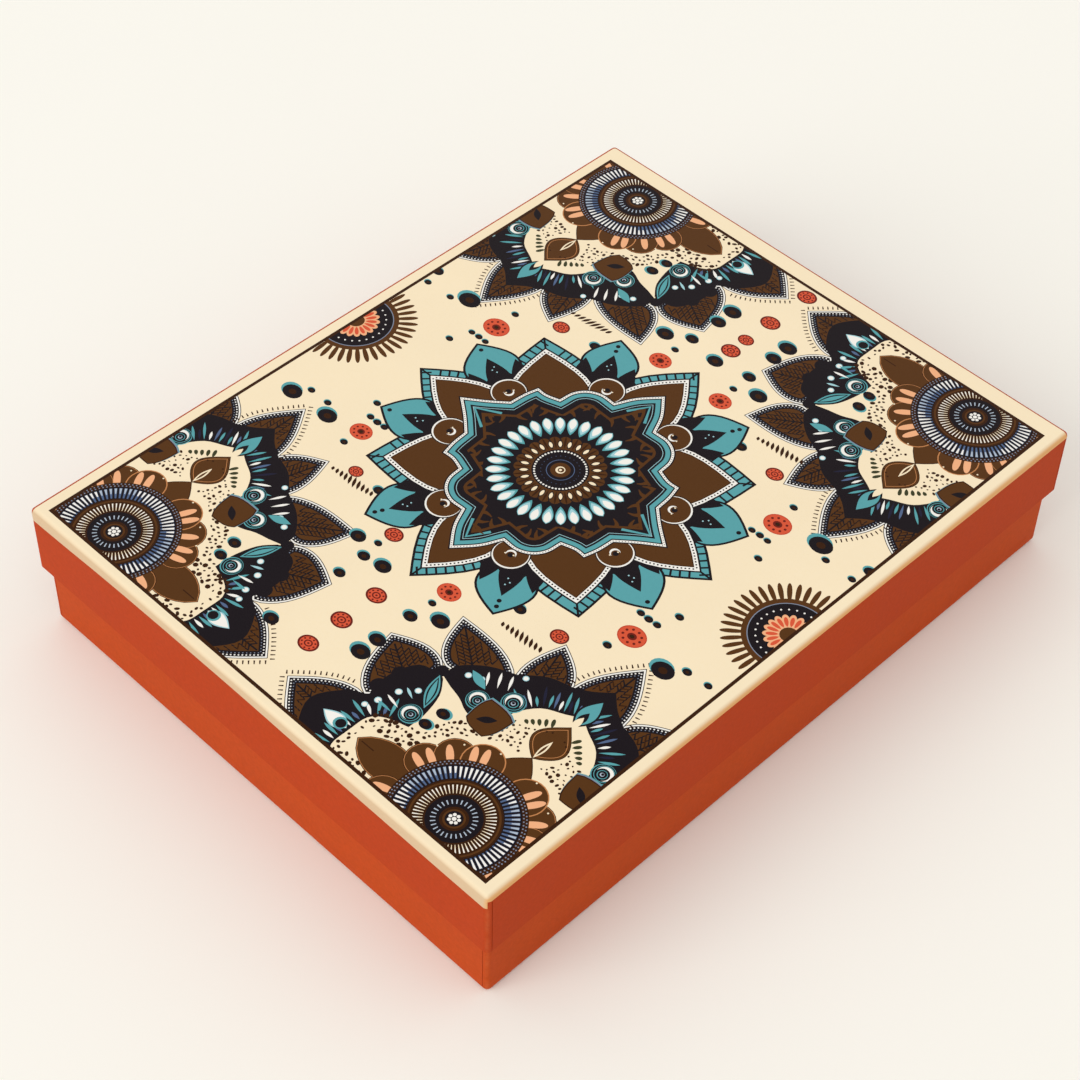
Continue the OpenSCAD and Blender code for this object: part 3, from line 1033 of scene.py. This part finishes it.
# how far the paper reaches past its two folds: at a place along the lid, a length
FRONT_REACH = [(LEFT_X, DROP_Y), (-65, 3.95), (-55, 3.5), (-42, 3.2), (-27, 3.08), (-10, 3.05)]
FRONT_REACH += [(5, 3.25), (18, 3.58), (33, 3.8), (50, 4.02), (64, 4.26), (FOLD_X, DROP_Y)]
RIGHT_REACH = [(FOLD_Y, 1.95), (-80, 1.88), (-50, 1.87), (0, 1.8), (30, 1.82), (52, 2.02)]
RIGHT_REACH += [(72, 2.2), (FAR_Y, DROP_X)]


def sheet_outline():
    right = FOLD_X + DROP_X
    outline = curve(*[complex(x, FOLD_Y - reach) for x, reach in FRONT_REACH], steps=4)
    steps = [k / 6 for k in range(1, 7)]
    middle = complex(FOLD_X, FOLD_Y)
    outline += [middle + cmath.rect(DROP_Y, math.radians(-90 + 45 * t)) for t in steps]
    near = RIGHT_REACH[0][1]
    outline += [middle + cmath.rect(near, math.radians(-45 + 45 * t)) for t in [0] + steps]
    outline += curve(*[complex(FOLD_X + reach, y) for y, reach in RIGHT_REACH], steps=4)[1:]
    outline.append(complex(LEFT_X + CORNER, FAR_Y))
    corner = complex(LEFT_X + CORNER, FAR_Y - CORNER)
    outline += [corner + cmath.rect(CORNER, math.radians(90 + 90 * t)) for t in steps]
    return outline


def fold_lines():
    """Lines across which the folded paper turns, with one on the flat beside each fold."""
    right, low = FOLD_X + DROP_X, FOLD_Y - DROP_Y
    lines = []
    for k in range(-1, 11):
        x = FOLD_X + (DROP_X * k / 10 if k >= 0 else -0.4)
        y0 = FOLD_Y if k >= 0 else FOLD_Y + 0.4
        lines.append([complex(x, y0), complex(x, FAR_Y)])
    for k in range(-1, 11):
        y = FOLD_Y - (FOLD * math.pi / 2 * k / 10 if k >= 0 else -0.4)
        x1 = FOLD_X if k >= 0 else FOLD_X - 0.4
        lines.append([complex(LEFT_X, y), complex(x1, y)])
    middle = complex(FOLD_X, FOLD_Y)
    for k in range(1, 11):
        for start, end, reach in ((-90, -45, FOLD * math.pi / 2), (-45, 0, DROP_X)):
            arc = [start + (end - start) * j / 6 for j in range(7)]
            r = reach * k / 10
            lines.append([middle + cmath.rect(r, math.radians(a)) for a in arc])
    for k in range(0, 13):
        a = math.radians(-90 + 7.5 * k)
        reach = DROP_Y if k <= 6 else DROP_X
        lines.append([middle, middle + cmath.rect(reach, a)])
    return lines


def folded(z, depth):
    """The place in space, in millimetres, of a point of the flat pattern, a depth under the face."""
    a, b = z.real - FOLD_X, FOLD_Y - z.imag
    x, y = min(z.real, FOLD_X), max(z.imag, FOLD_Y)
    over_x, over_y = max(a, 0), max(b, 0)
    past = math.hypot(over_x, over_y)
    if past < 1e-9:
        return Vector((x, y, TOP_Z - depth))
    turn = min(past / FOLD, math.pi / 2)
    out = (FOLD - depth) * math.sin(turn)
    down = FOLD - (FOLD - depth) * math.cos(turn) + max(past - FOLD * math.pi / 2, 0)
    return Vector((x + out * over_x / past, y - out * over_y / past, TOP_Z - down))


def clipped(outline):
    """The part of an outline inside the frame line."""
    limits = ((1, LINE_X[0]), (1, -LINE_X[1]), (-1j, LINE_Y[0]), (-1j, -LINE_Y[1]))
    for k, (axis, limit) in enumerate(limits):
        sign = -1 if k % 2 else 1
        kept = []
        for a, b in zip(outline[-1:] + outline[:-1], outline):
            da, db = ((z * axis).real * sign - limit for z in (a, b))
            if (da < 0) != (db < 0):
                kept.append(a + (b - a) * da / (da - db))
            if db >= 0:
                kept.append(b)
        outline = kept
        if len(outline) < 3:
            return []
    return outline


def frame_bars():
    (x0, x1), (y0, y1), w = LINE_X, LINE_Y, LINE_W
    bars = [(x0, y0, x1, y0 + w), (x0, y1 - w, x1, y1)]
    bars += [(x0, y0 + w, x0 + w, y1 - w), (x1 - w, y0 + w, x1, y1 - w)]
    return [[complex(a, b), complex(c, b), complex(c, d), complex(a, d)] for a, b, c, d in bars]


def triangulated(outline, lines, art):
    """Points, triangles and each triangle's ink, for a flat sheet with shapes laid over it."""
    points, edges, faces, inks = [], [], [], []

    def add(line):
        first = len(points)
        points.extend(Vector((z.real, z.imag)) for z in line)
        return list(range(first, len(points)))

    faces.append(add(outline))
    inks.append("cream")
    for line in lines:
        row = add(line)
        edges.extend(zip(row, row[1:]))
    for name, shape in art:
        if area(shape) < 0:
            shape = shape[::-1]
        if len(shape) > 2 and area(shape) > 1e-4:
            faces.append(add(shape))
            inks.append(name)
    made = delaunay_2d_cdt(points, edges, faces, 1, 1e-5, True)
    spots, _, triangles, _, _, sources = made
    kept = [(t, inks[max(s)]) for t, s in zip(triangles, sources) if 0 in s]
    return [complex(*p) for p in spots], kept


def make_sheet(inks):
    """The printed sheet as one closed mesh, with a material for each ink."""
    outline, lines = sheet_outline(), fold_lines()
    art = [(name, clipped(shape)) for name, shape in lid_print()]
    art += [("line", bar) for bar in frame_bars()]
    mesh = bmesh.new()
    slots = list(inks)
    top, faces = triangulated(outline, lines, art)
    above = [mesh.verts.new(folded(z, 0) * MM) for z in top]
    for triangle, name in faces:
        face = mesh.faces.new([above[k] for k in triangle])
        face.material_index = slots.index(name)
        face.smooth = any(
            top[k].real > FOLD_X + 0.01 or top[k].imag < FOLD_Y - 0.01 for k in triangle
        ) or all(top[k].real > FOLD_X - 0.41 for k in triangle) or all(
            top[k].imag < FOLD_Y + 0.41 for k in triangle
        )
    under, faces = triangulated(outline, lines, [])
    below = [mesh.verts.new(folded(z, SHEET_T) * MM) for z in under]
    for triangle, _ in faces:
        mesh.faces.new([below[k] for k in reversed(triangle)])
    # close the cut edge
    mesh.edges.ensure_lookup_table()
    spot = {(round(z.real, 3), round(z.imag, 3)): k for k, z in enumerate(under)}
    index = {v: k for k, v in enumerate(above)}
    for edge in [e for e in mesh.edges if len(e.link_faces) == 1 and e.verts[0] in index]:
        edge.smooth = False
        loop = edge.link_loops[0]
        a, b = index[loop.vert], index[loop.link_loop_next.vert]
        c, d = (spot[round(top[k].real, 3), round(top[k].imag, 3)] for k in (a, b))
        mesh.faces.new([above[b], above[a], below[c], below[d]])
    data = bpy.data.meshes.new("lid_print_sheet")
    mesh.to_mesh(data)
    mesh.free()
    for name in slots:
        data.materials.append(inks[name])
    sheet = bpy.data.objects.new("lid_print_sheet", data)
    bpy.context.scene.collection.objects.link(sheet)
    return sheet


INKS = {
    "cream": (250, 232, 199),
    "brown": (86, 52, 21),
    "line": (56, 29, 9),
    "black": (25, 19, 25),
    "teal": (90, 163, 170),
    "navy": (32, 32, 54),
    "white": (246, 244, 238),
    "sky": (164, 209, 217),
    "grey": (128, 138, 158),
    "steel": (84, 104, 140),
    "mist": (176, 190, 206),
    "tan": (196, 132, 82),
    "peach": (243, 179, 134),
    "coral": (217, 88, 58),
    "rust": (196, 70, 46),
    "maroon": (110, 32, 24),
    "moss": (60, 62, 38),
}


def printed_ink(name, colour):
    base = srgb(*colour)
    shade = tuple(0.88 * c for c in base[:3]) + (1,)
    tint = tuple(min(1, 1.06 * c + 0.004) for c in base[:3]) + (1,)
    made, tree, shader, tone = paper(
        "print_" + name, base, shade, tint, grain=0.12, rough=0.5, relief=0.05
    )
    shader.inputs["Specular IOR Level"].default_value = 0.25
    if name == "cream":
        # painted shade: the paper is toned where it is drawn over the two folds, darkened towards
        # tan further down the bend, and more strongly and more warmly on the +X side, which faces
        # away from the key lamp
        place = new_node(tree, "TexCoord").outputs["Object"]
        x, _, z = new_node(tree, "SeparateXYZ", {0: place}).outputs
        down, side = (
            new_node(
                tree, "MapRange", {"Value": value, "From Min": start, "From Max": end}
            ).outputs[0]
            for value, start, end in ((z, 0.04, 0.0394), (x, 0.0787, 0.0796))
        )
        tan = blended(tree, side, srgb(196, 165, 130), srgb(216, 153, 83))
        rolled_shade = maths(tree, "MULTIPLY_ADD", down, 0.42, 0.45)
        share = maths(
            tree,
            "MAXIMUM",
            maths(tree, "MULTIPLY", side, rolled_shade),
            maths(tree, "MULTIPLY", down, 0.8),
        )
        tone = blended(tree, share, tone, tan)
        tree.links.new(tone, shader.inputs["Base Color"])
    return made


sheet = make_sheet({name: printed_ink(name, c) for name, c in INKS.items()})
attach(sheet, "lid")
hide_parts("lid_top_print")
